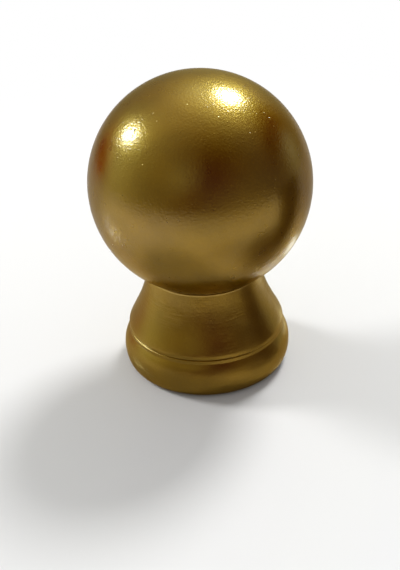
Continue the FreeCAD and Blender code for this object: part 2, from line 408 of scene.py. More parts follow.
# %% The collar's skin
HALF_WINDOW = 8  # columns each side of the hole
WINDOW_HIGH, WINDOW_LOW = 7.7, 1.7  # the window's edges on the socket's wall, in millimetres
RINGS = 6  # rings of points between a window and the hole
GRUB_HOLE_RADIUS = 2.04
GRUB_PITCH = 0.7
GRUB_THREAD_DEPTH = 0.36
HOLE_ROWS = 64


def even_socket_wall(line, cells):
    """Deals the socket wall's points again, with a set number of cells beside the hole."""
    wall = (np.abs(line[:, 0] - SOCKET_RADIUS) < 0.004) & (line[:, 1] > 1.1) & (line[:, 1] < 12.4)
    first, last = np.flatnonzero(wall)[[0, -1]]
    beside = np.linspace(WINDOW_HIGH, WINDOW_LOW, cells + 1)
    heights = np.concatenate([[12.0, 11.0, 10.0, 9.0, 8.3], beside, [1.3]])
    new = np.stack([np.full(len(heights), SOCKET_RADIUS), heights], axis=1)
    return np.concatenate([line[:first], new, line[last + 1 :]])


def hole_point(radius, angle, depth):
    """A point at a radius and an angle about the grub screw's axis, which runs along Y."""
    return np.stack([radius * np.cos(angle), depth, GRUB_AXIS_HEIGHT + radius * np.sin(angle)], axis=-1)


def filled_groove(grid):
    """Lacquer has run into the groove on the right of the front, and nearly levels it there.

    The dip is multiplied by 1 - 0.9 / (1 + exp((|a - 75| - 48) / 5)), where a is the angle in
    degrees from the front towards +X.
    """
    radius = np.hypot(grid[..., 0], grid[..., 1])
    azimuth = np.degrees(np.arctan2(grid[..., 0], -grid[..., 1]))
    filled = 0.9 / (1 + np.exp((np.abs(azimuth - 75) - 48) / 5))
    in_groove = (np.abs(grid[..., 2] - GROOVE_HEIGHT) < 0.3) & (radius > BAND_RADIUS - GROOVE_DEPTH)
    raised = np.where(in_groove, radius + filled * np.maximum(BAND_RADIUS - radius, 0), radius)
    grid[..., :2] *= (raised / radius)[..., None]
    return grid


def make_collar(line):
    """The outline, turned, with a window in the bead and in the socket, and the threaded hole between.

    Rings lead from each window to the hole: corner + (edge - corner) * t, for t from 0 to 1,
    dropped on the bead or on the socket's wall. The hole's edge in the bead is where a cone
    of 45 degrees meets it, found by going back and forth between radius and depth.
    """
    outer = np.flatnonzero((line[:, 0] > 18.0) & (line[:, 1] > 1.2) & (line[:, 1] < 8.2))
    outer_rows = (int(outer[0]), int(outer[-1]))
    cells = outer_rows[1] - outer_rows[0]
    line = even_socket_wall(line, cells)
    at_top = np.hypot(line[:, 0] - SOCKET_RADIUS, line[:, 1] - WINDOW_HIGH) < 1e-6
    inner_first = int(np.flatnonzero(at_top)[0])
    inner_rows = (inner_first, inner_first + cells)
    grid = filled_groove(turned_grid(line))
    count, around = grid.shape[:2]
    points = grid.reshape(-1, 3)
    number = np.arange(count * around).reshape(count, around)
    middle = around // 4
    columns = (middle - HALF_WINDOW, middle + HALF_WINDOW)

    keep = np.ones((count, around), bool)
    for j0, j1 in (outer_rows, inner_rows):
        keep[j0:j1, columns[0] : columns[1]] = False
    faces = strip_faces(number, np.roll(number, -1, axis=0))[keep.ravel()]

    outer_ring, outer_angle = window(number, points, outer_rows, columns)
    inner_ring, inner_angle = window(number, points, inner_rows, columns)
    bead = line[outer_rows[0] - 2 : outer_rows[1] + 3]
    bead_radius = lambda z: np.interp(z, bead[:, 1], bead[:, 0])
    bead_y = lambda x, z: np.sqrt(bead_radius(z) ** 2 - x**2)
    socket_y = lambda x, z: np.sqrt(SOCKET_RADIUS**2 - x**2)

    sink_floor = CROWN_RADIUS - 0.35
    edge = np.full(len(outer_angle), GRUB_HOLE_RADIUS + 0.3)
    for _ in range(12):
        surface = bead_y(edge * np.cos(outer_angle), GRUB_AXIS_HEIGHT + edge * np.sin(outer_angle))
        edge = GRUB_HOLE_RADIUS + np.maximum(surface - sink_floor, 0.02)

    def rings(ring, angle, radius, face_y):
        """Points that lead from a window to the hole's edge on a face y = face_y(x, z)."""
        rim = np.stack([radius * np.cos(angle), GRUB_AXIS_HEIGHT + radius * np.sin(angle)], axis=-1)
        t = (np.arange(1, RINGS + 1) / RINGS)[:, None, None]
        flat = points[ring][:, [0, 2]] * (1 - t) + rim * t
        x, z = flat[..., 0], flat[..., 1]
        return np.stack([x, face_y(x, z), z], axis=-1)

    outer_rings = rings(outer_ring, outer_angle, edge, bead_y)
    inner_rings = rings(inner_ring, inner_angle, np.full(len(inner_angle), GRUB_HOLE_RADIUS), socket_y)

    t = np.linspace(0, 1, HOLE_ROWS)[:, None]
    angle = outer_angle * (1 - t) + inner_angle * t
    inner_y = socket_y(GRUB_HOLE_RADIUS * np.cos(inner_angle), 0)
    along = sink_floor * (1 - t) + inner_y * t
    fade = np.clip(np.minimum(t, 1 - t) * 20, 0, 1)
    radius = GRUB_HOLE_RADIUS - fade * thread_dip(along, angle, GRUB_PITCH, GRUB_THREAD_DEPTH)
    wall = hole_point(radius, angle, along)[:-1]

    first = len(points)
    extra = np.concatenate([outer_rings, wall, inner_rings[::-1]])
    extra_number = first + np.arange(extra[..., 0].size).reshape(extra.shape[:2])
    tube = np.concatenate([outer_ring[None], extra_number, inner_ring[None]])
    faces = np.concatenate([faces, strip_faces(tube[1:], tube[:-1])])
    points = np.concatenate([points, extra.reshape(-1, 3)])
    used, faces = np.unique(faces, return_inverse=True)
    return skin("collar_skin", points[used], faces.reshape(-1, 4))


collar = make_collar(collar_line)
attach(collar, "root")
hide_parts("collar")

# %% [markdown]
# ## The two screws
#
# The ball's screw is a pan-head machine screw. Its head is a turned skin whose face is
# pressed in by the cross: one function of x and y gives how deep. Its shank carries a
# thread. The grub screw is a threaded plug with a six-sided socket, black from the bath.

# %% A threaded skin, from the face of the drive to the tip
HEAD_HEIGHT = 4.0
HEAD_RADIUS = 5.8
HEAD_ROUND = 1.4
SHANK_RADIUS = 3.0
SHANK_LENGTH = 16.0
SHANK_TIP = 0.7
CROSS_EDGE = 0.12
GRUB_RADIUS = 2.0
HEX_HALF_WIDTH = 1.0


def cross_depth(x, y, span=6.2, wing=1.3, centre=1.45, deepest=2.4):
    """The cross recess: as deep as the wings' sloping floor allows, times a soft step at its edge."""
    ax, ay = np.abs(x), np.abs(y)
    inside = np.maximum(np.minimum(span / 2 - ax, wing / 2 - ay), np.minimum(span / 2 - ay, wing / 2 - ax))
    inside = np.maximum(inside, centre - np.hypot(x, y))
    floor = np.clip((span / 2 - np.hypot(x, y)) * 2.2, 0, deepest)
    step = np.clip(inside / CROSS_EDGE, 0, 1)
    return floor * step * step * (3 - 2 * step)


def closed_stack(name, grid, first_pole, last_pole, crease=38):
    """A grid of rings closed by a point at each end."""
    rows, columns = grid.shape[:2]
    number = np.arange(rows * columns).reshape(rows, columns)
    points = np.concatenate([grid.reshape(-1, 3), [first_pole], [last_pole]])
    quads = strip_faces(number[:-1], number[1:])
    triangles = np.concatenate(
        [fan_faces(number[0], rows * columns, flip=True), fan_faces(number[-1], rows * columns + 1)]
    )
    return skin(name, points, quads, triangles, crease)


def make_ball_screw(around=144, face_rings=60):
    """Rings from the head's face, over its rounded edge, and up the threaded shank to the point."""
    face = SCREW_SEAT_HEIGHT - HEAD_HEIGHT
    tip = SCREW_SEAT_HEIGHT + SHANK_LENGTH
    face_edge = (HEAD_RADIUS - HEAD_ROUND, face)
    side_low, side_high = (HEAD_RADIUS, face + HEAD_ROUND), (HEAD_RADIUS, SCREW_SEAT_HEIGHT)
    head = np.concatenate(
        [
            straight((0.05, face), face_edge, face_rings),
            quarter_oval(face_edge, (HEAD_RADIUS, face), side_low, 14),
            straight(side_low, side_high, 3)[1:],
            straight(side_high, (SHANK_RADIUS, SCREW_SEAT_HEIGHT), 3)[1:],
        ]
    )
    shank_heights = np.linspace(SCREW_SEAT_HEIGHT, tip, 176)[1:]
    point = np.clip((shank_heights - (tip - SHANK_TIP)), 0, None)
    shank = np.stack([SHANK_RADIUS - point, shank_heights], axis=1)
    end = straight((SHANK_RADIUS - SHANK_TIP, tip), (0.05, tip), 3)[1:]
    line = np.concatenate([head, shank, end])
    grid = turned_grid(line, around)
    on_face = np.arange(len(line)) < face_rings
    grid[on_face, :, 2] += cross_depth(grid[on_face, :, 0], grid[on_face, :, 1])
    angle = np.arange(around) * (2 * math.pi / around)
    z = line[:, 1:]
    fade = np.clip((z - SCREW_SEAT_HEIGHT - 1.2) / 0.8, 0, 1) * np.clip((tip - z) / 1.2, 0, 1)
    dip = fade * thread_dip(z, angle, pitch=1.0, depth=0.5)
    shrink = (line[:, :1] - dip) / line[:, :1]
    on_shank = (np.arange(len(line)) >= len(head)) & (np.arange(len(line)) < len(head) + len(shank))
    grid[on_shank, :, :2] *= shrink[on_shank][..., None]
    deepest = face + float(cross_depth(np.zeros(1), np.zeros(1))[0])
    return closed_stack("ball_screw_skin", grid, (0, 0, deepest), (0, 0, tip))


def make_grub_screw(around=96):
    """Rings from the middle of the hexagon's floor, out over the face, and along the thread to the tip."""
    outer, tip = CROWN_RADIUS - 0.6, SOCKET_RADIUS + 0.3
    angle = np.arange(around) * (2 * math.pi / around)
    sector = math.pi / 3
    hexagon = HEX_HALF_WIDTH / np.cos((angle + sector / 2) % sector - sector / 2)
    floor = outer - 2.2
    body = np.linspace(outer - 0.15, tip, 76)[:, None]
    bevel = np.clip(tip + 0.6 - body, 0, None)
    fade = np.clip((outer - body) / 0.7, 0, 1) * np.clip((body - tip - 0.5) / 0.5, 0, 1)
    body_radius = GRUB_RADIUS - bevel - fade * thread_dip(body, angle, GRUB_PITCH, GRUB_THREAD_DEPTH)
    radii = np.concatenate(
        [
            0.3 * np.ones((1, around)),
            [hexagon * 0.98, hexagon, hexagon, hexagon + 0.06],
            np.full((1, around), 1.85),
            body_radius,
            np.full((1, around), 0.3),
        ]
    )
    drive_depths = [floor - 0.3, floor, floor + 0.02, outer - 0.06, outer, outer]
    depths = np.concatenate([drive_depths, body[:, 0], [tip]])
    grid = hole_point(radii, angle, np.broadcast_to(depths[:, None], radii.shape))
    return closed_stack(
        "grub_screw_skin", grid, (0, floor - 0.35, GRUB_AXIS_HEIGHT), (0, tip, GRUB_AXIS_HEIGHT)
    )


ball_screw = make_ball_screw()
grub_screw = make_grub_screw()
for piece, node, finish in (
    (ball_screw, "ball_screw", "screw_zinc"),
    (grub_screw, "grub_screw", "screw_black"),
):
    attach(piece, "root")
    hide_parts(node)

# %% [markdown]
# ## Finishes
#
# The gold is a lacquer with metal powder in it, under a clear coat. Three things make it
# read as that: a metal that is fairly rough, because the powder's flakes lie at small
# angles to the surface; a smooth clear coat that gives each lamp a small white core; and
# the orange peel that spraying leaves, which breaks up the edge of every highlight. Low
# grains of powder under the film add a sparkle there. All of this is the same over the
# whole piece, wherever a lamp or the camera happens to be.

# %% A short way to write node trees
class Nodes:
    """A node tree whose nodes are added one by one, each from a number, a colour or another's output."""

    def __init__(self, tree):
        self.tree = tree

    def node(self, kind, inputs=None, **settings):
        made = self.tree.nodes.new("ShaderNode" + kind)
        for key, value in settings.items():
            setattr(made, key, value)
        for socket, value in (inputs or {}).items():
            self.put(made.inputs[socket], value)
        return made

    def put(self, socket, value):
        if isinstance(value, bpy.types.NodeSocket):
            self.tree.links.new(value, socket)
        else:
            socket.default_value = value

    def math(self, operation, *values):
        return self.node("Math", dict(enumerate(values)), operation=operation).outputs[0]

    def plus(self, a, b):
        return self.math("ADD", a, b)

    def times(self, a, b):
        return self.math("MULTIPLY", a, b)

    def larger(self, a, b):
        return self.math("MAXIMUM", a, b)

    def vector(self, operation, *values):
        return self.node("VectorMath", dict(enumerate(values)), operation=operation)


class Finish(Nodes):
    """A material. Its patterns read Object coordinates, in metres."""

    def __init__(self, name):
        self.material = bpy.data.materials.new(name)
        self.material.use_nodes = True
        super().__init__(self.material.node_tree)
        self.shader = self.tree.nodes["Principled BSDF"]
        self.place = self.node("TexCoord").outputs["Object"]

    def noise(self, grain_mm, detail=2.0, rough=0.5, place=None):
        """A noise whose blobs are about `grain_mm` across, from 0 to 1 with a mean of a half."""
        scale = 1 / (grain_mm * MM)
        inputs = {"Vector": place or self.place, "Scale": scale, "Detail": detail, "Roughness": rough}
        return self.node("TexNoise", inputs).outputs["Fac"]

    def range(self, value, low, high, to_low, to_high, smooth=False):
        """A value carried from one span to another, along a straight or a smooth ramp."""
        inputs = {"Value": value, "From Min": low, "From Max": high, "To Min": to_low, "To Max": to_high}
        kind = "SMOOTHSTEP" if smooth else "LINEAR"
        return self.node("MapRange", inputs, interpolation_type=kind).outputs["Result"]

    def mix(self, share, a, b):
        """Colour a where the share is 0, and b where it is 1."""
        return self.node("Mix", {0: share, 6: a, 7: b}, data_type="RGBA").outputs[2]

    def bump(self, height_mm):
        """The way the surface faces once it has this relief."""
        return self.node("Bump", {"Height": height_mm, "Distance": MM, "Strength": 1.0}).outputs["Normal"]

    def set(self, **sockets):
        for name, value in sockets.items():
            self.put(self.shader.inputs[name.replace("_", " ")], value)

    def show(self, surface):
        self.put(self.tree.nodes["Material Output"].inputs["Surface"], surface)


# %% The gold lacquer, before any detail
GOLD = (0.236, 0.141, 0.012)


def shade(colour, factor):
    """The colour, lighter or darker, with the fourth number that a colour socket takes."""
    return tuple(c * factor for c in colour) + (1,)


def sprayed(name, roughness):
    """The gold under its clear coat, a little uneven in depth from one pass of the gun to the next."""
    f = Finish(name)
    passes = f.range(f.plus(f.noise(9), f.times(f.noise(0.4, detail=1), 0.3)), 0.3, 1.0, 0, 1)
    f.set(Base_Color=f.mix(passes, shade(GOLD, 0.8), shade(GOLD, 1.2)), Metallic=1.0)
    f.set(Specular_Tint=(0.75, 0.6, 0.3, 1), Coat_Weight=0.32, Coat_Roughness=0.15, Coat_IOR=2.0)
    f.set(Roughness=f.range(f.noise(2.5, detail=3), 0.3, 0.7, roughness - 0.03, roughness + 0.03))
    return f


def orange_peel(f):
    """The height of the sprayed film in millimetres: fine dimples on a slow swell."""
    dimples = f.times(f.noise(0.5), 0.036)
    swell = f.times(f.noise(6, detail=1), 0.03)
    return f.plus(dimples, swell)


# %% [markdown]
# Dust settles in wet lacquer and dries there as nibs, pale points a quarter of a
# millimetre across. A few are where the photograph shows them, and the rest are
# sprinkled: space is cut in cells, each with one point at random, and a nib is where the
# surface passes close to the point of a chosen cell. One pinhole is dark.

# %% Nibs and the pinhole
def direction_point(azimuth, elevation):
    """The point of the ball's surface in a direction from its centre, in metres."""
    return BALL_PLACE + BALL_RADIUS * MM * towards(azimuth, elevation)


def towards(azimuth, elevation):
    """A unit vector. Azimuth 0 is on the camera's side, -Y, and 90 is +X; both in degrees."""
    a, e = math.radians(azimuth), math.radians(elevation)
    return Vector((math.sin(a) * math.cos(e), -math.cos(a) * math.cos(e), math.sin(e)))


BALL_PLACE = Vector((0, 0, BALL_CENTRE * MM))


def spot(f, point, radius_mm):
    """1 at a point and 0 beyond a radius, with a smooth flank."""
    away = f.vector("DISTANCE", f.place, point).outputs["Value"]
    return f.range(away, radius_mm * 0.3 * MM, radius_mm * MM, 1, 0, smooth=True)


def gritty(f, height):
    """Puts a height on the gold and its coat, with low smooth grains that sparkle near a lamp's image.

    In millimetres, the gold's relief is height + 0.012 grains, and the coat's is
    1.6 height + 0.016 grains, since the coat is the outer skin and has more of the peel.
    """
    grains = sprinkled(f, 0.7, 0.26, 0.5)
    gold_relief = f.plus(height, f.times(grains, 0.012))
    coat_relief = f.plus(f.times(height, 1.6), f.times(grains, 0.016))
    f.set(Normal=f.bump(gold_relief), Coat_Normal=f.bump(coat_relief))


def sprinkled(f, cell_mm, radius_mm, share):
    """Small spots at random: near the point of a cell, in that share of the cells."""
    cells = f.node("TexVoronoi", {"Vector": f.place, "Scale": 1 / (cell_mm * MM)}, feature="F1")
    edge = radius_mm / cell_mm
    close = f.range(cells.outputs["Distance"], 0.3 * edge, edge, 1, 0, smooth=True)
    lot = f.node("SeparateColor", {0: cells.outputs["Color"]}).outputs[0]
    return f.times(close, f.math("GREATER_THAN", lot, 1 - share))


# %% The ball's finish
BALL_NIBS = [  # azimuth, elevation, radius in millimetres
    (-41.6, 57.4, 0.20),
    (-11.1, 65.4, 0.15),
    (18.0, 56.4, 0.18),
    (36.6, 44.5, 0.17),
    (40.7, 44.0, 0.17),
    (60.7, 46.4, 0.17),
    (-32.8, 31.9, 0.17),
    (-34.0, 53.8, 0.15),
    (60.3, 49.8, 0.14),
    (58.4, 42.3, 0.13),
]
PINHOLE = (-48.4, 46.3)
DUST = (0.7, 0.52, 0.18, 1)


def ball_finish():
    """The sprayed gold with its nibs, 0.03 mm high and dusty, and the pinhole, 0.05 mm deep and dark."""
    f = sprayed("ball_gold", 0.3)
    nibs = sprinkled(f, 2.2, 0.16, 0.04)
    for azimuth, elevation, radius in BALL_NIBS:
        nibs = f.larger(nibs, spot(f, direction_point(azimuth, elevation), radius * 1.3))
    pinhole = spot(f, direction_point(*PINHOLE), 0.3)
    height = f.plus(orange_peel(f), f.times(nibs, 0.03))
    height = f.math("SUBTRACT", height, f.times(pinhole, 0.05))
    gritty(f, height)
    plain = f.shader.inputs["Base Color"].links[0].from_socket
    dusty = f.mix(f.times(nibs, 0.8), plain, DUST)
    f.set(Base_Color=f.mix(pinhole, dusty, shade(GOLD, 0.15)))
    return f.material


# %% [markdown]
# The collar has the same lacquer over a rougher ground. The tool left fine rings as it
# went up the neck, and the film follows them softly, so they show as faint level streaks
# that come and go. They are a noise that is squeezed along the height and stretched round.
# At the rim a hairline is painted paler than the rest: a painted highlight along the edge.
# Inside the socket there is no lacquer beyond what drifted in: bare turned metal, with a
# haze of gold at the mouth.

# %% The collar's finish
def turning_lines(f, every_mm, stretch=14):
    """Noise on a squeezed space: rings `every_mm` apart up the axis, `stretch` times as long round it."""
    squeezed = f.node("Mapping", {"Vector": f.place, "Scale": (1 / stretch, 1 / stretch, 1)}).outputs[0]
    return f.noise(every_mm, detail=3, rough=0.65, place=squeezed)


BARE_METAL = (0.55, 0.55, 0.56, 1)
PAINTED_RIM_HIGHLIGHT = (0.62, 0.45, 0.16, 1)


def under(f, value, limit_mm):
    """1 where a length is less than a limit, and 0 elsewhere."""
    return f.math("LESS_THAN", value, limit_mm * MM)


def collar_finish():
    """The sprayed gold with turning lines above the bead, a painted highlight on the rim, and bare metal in
    the socket.
    """
    f = sprayed("collar_gold", 0.33)
    f.set(Coat_Weight=0.22, Coat_Roughness=0.28)
    x, y, z = f.node("SeparateXYZ", {0: f.place}).outputs
    radius = f.math("SQRT", f.plus(f.times(x, x), f.times(y, y)))
    patches = f.range(f.noise(7), 0.42, 0.62, 0.3, 1.0, smooth=True)
    high = f.range(z, 0.014, 0.019, 0.35, 1.0, smooth=True)
    lines = f.times(turning_lines(f, 0.5), f.times(patches, high))
    gritty(f, f.plus(orange_peel(f), f.times(lines, 0.11)))
    socket = f.times(under(f, radius, SOCKET_RADIUS + 0.1), under(f, z, SOCKET_DEPTH + 0.1))
    pocket = f.times(under(f, radius, SCREW_POCKET_RADIUS + 0.1), under(f, z, SCREW_SEAT_HEIGHT + 0.1))
    uneven_height = f.plus(z, f.times(f.noise(1.5, detail=4), 0.003))
    past_haze = f.range(uneven_height, 0.002, 0.009, 0.0, 1.0)
    bare = f.times(f.larger(socket, pocket), past_haze)
    gold = f.shader.inputs["Base Color"].links[0].from_socket
    streaky = f.mix(f.range(lines, 0.2, 0.7, 0, 0.25), gold, shade(GOLD, 1.3))
    # A painted highlight: a hairline paler than the rest along the rim.
    rim_highlighted = f.mix(f.range(z, 0.0237, 0.0240, 0, 0.55), streaky, PAINTED_RIM_HIGHLIGHT)
    f.set(Base_Color=f.mix(bare, rim_highlighted, BARE_METAL))
    return f.material


# %% [markdown]
# The screws come from a box. The ball's screw is plated with bright zinc, which is patchy
# and a little rough, and the grub screw is blackened in a hot bath, which leaves it dark
# and nearly dull. Neither shows much, so a patchy colour and a fine grain are enough.

# %% The screws' finishes
def zinc_finish():
    """Zinc plate: patches of two greys, with a grain of 0.15 mm."""
    f = Finish("screw_zinc_plate")
    patches = f.noise(1.2, detail=4, rough=0.6)
    f.set(Base_Color=f.mix(patches, (0.50, 0.52, 0.54, 1), (0.66, 0.67, 0.66, 1)), Metallic=1.0)
    f.set(Roughness=f.range(patches, 0.3, 0.7, 0.22, 0.38))
    f.set(Normal=f.bump(f.times(f.noise(0.15), 0.004)))
    return f.material


def black_finish():
    """Black oxide: patches of two near blacks, with a grain of 0.12 mm."""
    f = Finish("screw_black_oxide")
    patches = f.noise(0.8, detail=4, rough=0.6)
    f.set(Base_Color=f.mix(patches, (0.018, 0.018, 0.020, 1), (0.045, 0.043, 0.042, 1)), Metallic=0.7)
    f.set(Roughness=f.range(patches, 0.3, 0.7, 0.32, 0.5))
    f.set(Normal=f.bump(f.times(f.noise(0.12), 0.004)))
    return f.material


for piece, finish in (
    (ball, ball_finish()),
    (collar, collar_finish()),
    (ball_screw, zinc_finish()),
    (grub_screw, black_finish()),
):
    piece.data.materials.append(finish)
    print(piece.name, "is finished in", finish.name)

# %% [markdown]
# ## The table, the room and the lamps
#
# A polished ball is a map of the room round it. Each spot of light on it says where a
# lamp is: the mirror direction at that spot points at the lamp. Two lamps stand behind the
# object, one high on the right and one lower on the left, and the table under it is pale
# and a little glossy.
#
# The camera sees a plain white table that gives way to pure white some way off. The metal
# mirrors the table too, and what the ball shows of it in the photograph is not plain. It is
# warm in front, white on the left, and darker and cooler behind, which is light and shade.
# Two dark places, which are painted shadows, and a small pale glint, which is a painted glint
# that glows, stand for things that cannot be made out. So mirror rays see a table with this
# light and shade painted on it. It is part of the stage and no part of the object.

# %% The table's skin
TABLE_RADIUS = 400
TABLE_HEIGHT = -0.02  # a hair below the foot, so that no two faces share a plane


def table_skin(rings=40, around=96):
    """Rings of radius 400 t^1.5, for t from 0 to 1, closed by a point in the middle."""
    radius = np.linspace(0, 1, rings)[1:] ** 1.5 * TABLE_RADIUS
    line = np.stack([radius, np.full_like(radius, TABLE_HEIGHT)], axis=1)
    grid = turned_grid(line, around)
    number = np.arange(grid.shape[0] * around).reshape(-1, around)
    points = np.concatenate([grid.reshape(-1, 3), [[0, 0, TABLE_HEIGHT]]])
    middle = fan_faces(number[0], len(points) - 1, flip=True)
    return skin("table", points, strip_faces(number[:-1], number[1:]), middle)


# %% The table's finish
TABLE_WHITE = (0.75, 0.75, 0.75, 1)
# Painted light and shade on the table, for mirror rays: lit warm in front, lit white on the left, painted
# shade behind, and the colour of the painted shadows.
PAINTED_LIGHT_FRONT = (0.93, 0.87, 0.62, 1)
PAINTED_LIGHT_LEFT = (0.92, 0.90, 0.93, 1)
PAINTED_SHADE_BEHIND = (0.50, 0.50, 0.57, 1)
PAINTED_SHADOW_COLOUR = (0.08, 0.02, 0, 1)
# Painted shadows on the table, for mirror rays only.
PAINTED_SHADOWS = (((0.052, -0.026, 0), 44, 0.84), ((0.024, -0.060, 0), 34, 0.34))  # place, radius, share
# A painted glint: a pale spot on the table that glows for mirror rays, though it is no lamp.
PAINTED_GLINT_PLACE = (0.041, 0.024, 0)
PAINTED_GLINT_COLOUR = (0.52, 0.68, 1, 1)


def painted_table_light_and_shade(f, away):
    """Painted light and shade on the table as the metal mirrors it, by place: three colours, and a share of
    painted shade over them.
    """
    x, y = f.node("SeparateXYZ", {0: f.place}).outputs[:2]
    colour = f.mix(f.range(x, -0.08, -0.01, 1, 0, smooth=True), PAINTED_LIGHT_FRONT, PAINTED_LIGHT_LEFT)
    colour = f.mix(f.range(y, 0.0, 0.06, 0, 1, smooth=True), colour, PAINTED_SHADE_BEHIND)
    # Painted shade: a painted contact shadow close to the object, and darker far off.
    near = f.range(away, 0.03, 0.09, 0.26, 0, smooth=True)
    far = f.range(away, 0.15, 0.35, 0, 0.25, smooth=True)
    dark = f.plus(near, far)
    # Painted shadows in the two places.
    for place, radius_mm, share in PAINTED_SHADOWS:
        dark = f.larger(dark, f.times(spot(f, place, radius_mm), share))
    # Painted shade further right and behind.
    right = f.times(f.range(x, 0.04, 0.07, 0, 0.25), f.range(y, -0.03, 0.01, 0, 1))
    return f.mix(f.larger(dark, right), colour, PAINTED_SHADOW_COLOUR)


def table_finish():
    """White for the camera, and pure white beyond 200 mm; for mirror rays, painted light and shade and a
    painted glint that glows.
    """
    f = Finish("table_white")
    rays = f.node("LightPath").outputs
    mirrored = rays["Is Glossy Ray"]
    away = f.vector("LENGTH", f.place).outputs["Value"]
    # Mirror rays see the painted light and shade; the camera sees plain white.
    f.set(Base_Color=f.mix(mirrored, TABLE_WHITE, painted_table_light_and_shade(f, away)), Roughness=0.16)
    f.set(Specular_IOR_Level=f.range(mirrored, 0, 1, 0.06, 0.36))
    # The painted glint glows for mirror rays only.
    glint = f.times(spot(f, PAINTED_GLINT_PLACE, 11), mirrored)
    f.set(Emission_Color=PAINTED_GLINT_COLOUR, Emission_Strength=f.times(glint, 5.5))
    far = f.range(away, 0.05, 0.2, 0, 1, smooth=True)
    white = f.node("Emission", {"Color": (1, 1, 1, 1)}).outputs[0]
    share = f.times(far, rays["Is Camera Ray"])
    f.show(f.node("MixShader", {0: share, 1: f.shader.outputs[0], 2: white}).outputs[0])
    return f.material


table = table_skin()
table.data.materials.append(table_finish())

# %% [markdown]
# A photographer shapes what metal mirrors with dark screens as much as with lamps. One
# dark screen stands close on the right here, just for the mirror image: it is a painted dark
# reflection, glowing a faint brown though it is no lamp, and it gives the ball, the neck and
# the bead the dark band on their right sides.

# %% The dark screen
def make_screen(azimuth, distance_mm, width_mm, height_mm, steps=9):
    """An upright card that only mirror rays see: a rectangle square to the line from the object.

    Row j, column i: out * distance + side * width (i / 8 - 1/2) + up * height * j / 8.
    """
    across = np.linspace(-width_mm / 2, width_mm / 2, steps)
    up = np.linspace(0, height_mm, steps)
    a = math.radians(azimuth)
    out, side = np.array([math.sin(a), -math.cos(a), 0]), np.array([math.cos(a), math.sin(a), 0])
    grid = out * distance_mm + across[None, :, None] * side + up[:, None, None] * np.array([0, 0, 1])
    number = np.arange(steps * steps).reshape(steps, steps)
    faces = strip_faces(number[:-1], number[1:], closed=False)
    screen = skin("dark_screen", grid.reshape(-1, 3), faces)
    f = Finish("painted_reflection_screen")
    f.set(Base_Color=(0, 0, 0, 1), Roughness=1.0, Specular_IOR_Level=0.0)
    # The screen's faint brown glow is a painted reflection, no lamp.
    f.set(Emission_Color=(0.13, 0.08, 0.04, 1), Emission_Strength=1.0)
    screen.data.materials.append(f.material)
    screen.visible_camera = screen.visible_diffuse = screen.visible_shadow = False


make_screen(azimuth=77.5, distance_mm=52, width_mm=25, height_mm=49)

# %% [markdown]
# Each lamp is two things. A round area lamp lights the table and throws the shadow. The
# metal doesn't mirror that lamp, but a glowing disc in its place, which is cooler in colour:
# beside the warm room, that is how the photograph has it. A ball stretches the image of a
# lamp along its rim, so the disc is flattened that way to come out round.

# %% The lamps
CAMERA_ELEVATION = 25.9
HIGH_LAMP = (147.2, 49.4)
LEFT_LAMP = (-109.8, 31.4)
LAMP_DISTANCE = 1.2
DISC_SPREAD = 1.7  # the disc's soft edge reaches this much further than the lamp's


def glowing_disc(name, direction, radius_mm, colour, flat, around=48):
    """A disc that only mirror rays see. Its glow is 2.05 s^2, where s falls smoothly from 1 to 0."""
    line = np.array([[radius_mm, 0.0], [radius_mm * 0.5, 0.0]])
    rings = turned_grid(line, around).reshape(-1, 3)
    number = np.arange(2 * around).reshape(2, around)
    points = np.concatenate([rings, [[0, 0, 0]]])
    middle = fan_faces(number[1], 2 * around)
    face = skin(name + "_face", points, strip_faces(number[:-1], number[1:]), middle)
    out = towards(*direction)
    short = towards(0, CAMERA_ELEVATION).cross(out).normalized()
    turned = Matrix((short.cross(out), short * flat, out)).transposed().to_4x4()
    face.matrix_world = Matrix.Translation(BALL_PLACE + LAMP_DISTANCE * out) @ turned
    f = Finish(name + "_glow")
    away = f.vector("LENGTH", f.place).outputs["Value"]
    glow = f.range(away, 0, radius_mm * MM, 1, 0, smooth=True)
    strength = f.times(f.times(glow, glow), 2.05)
    f.show(f.node("Emission", {"Color": colour + (1,), "Strength": strength}).outputs[0])
    face.data.materials.append(f.material)
    face.visible_camera = face.visible_diffuse = face.visible_shadow = False


def lamp(name, direction, width_degrees, radiance, mirrored, flat):
    """A round lamp that faces the ball, and its disc. The lamp's watts are radiance * pi * area."""
    radius = LAMP_DISTANCE * math.tan(math.radians(width_degrees / 2))
    light = bpy.data.lights.new(name, "AREA")
    light.shape = "DISK"
    light.size = 2 * radius
    light.energy = radiance * math.pi * math.pi * radius**2
    holder = bpy.data.objects.new(name, light)
    holder.location = BALL_PLACE + LAMP_DISTANCE * towards(*direction)
    holder.rotation_mode = "QUATERNION"
    holder.rotation_quaternion = (BALL_PLACE - holder.location).to_track_quat("-Z", "Y")
    holder.visible_glossy = False
    bpy.context.collection.objects.link(holder)
    glowing_disc(name, direction, DISC_SPREAD * radius / MM, mirrored, flat)


lamp("high_lamp", HIGH_LAMP, width_degrees=18, radiance=31, mirrored=(27, 35, 58), flat=0.9)
lamp("left_lamp", LEFT_LAMP, width_degrees=15, radiance=34, mirrored=(27, 36, 56), flat=0.6)

# %% [markdown]
# The rest of the room is light by direction. One even colour fills it, and soft patches add
# to it or take from it. The directions and widths were chosen, and the colours were fitted to
# what the ball mirrors in the photograph, so a negative one corrects its neighbours and is
# no lamp. Rough surfaces are lit by a plain grey instead, and the camera sees white.

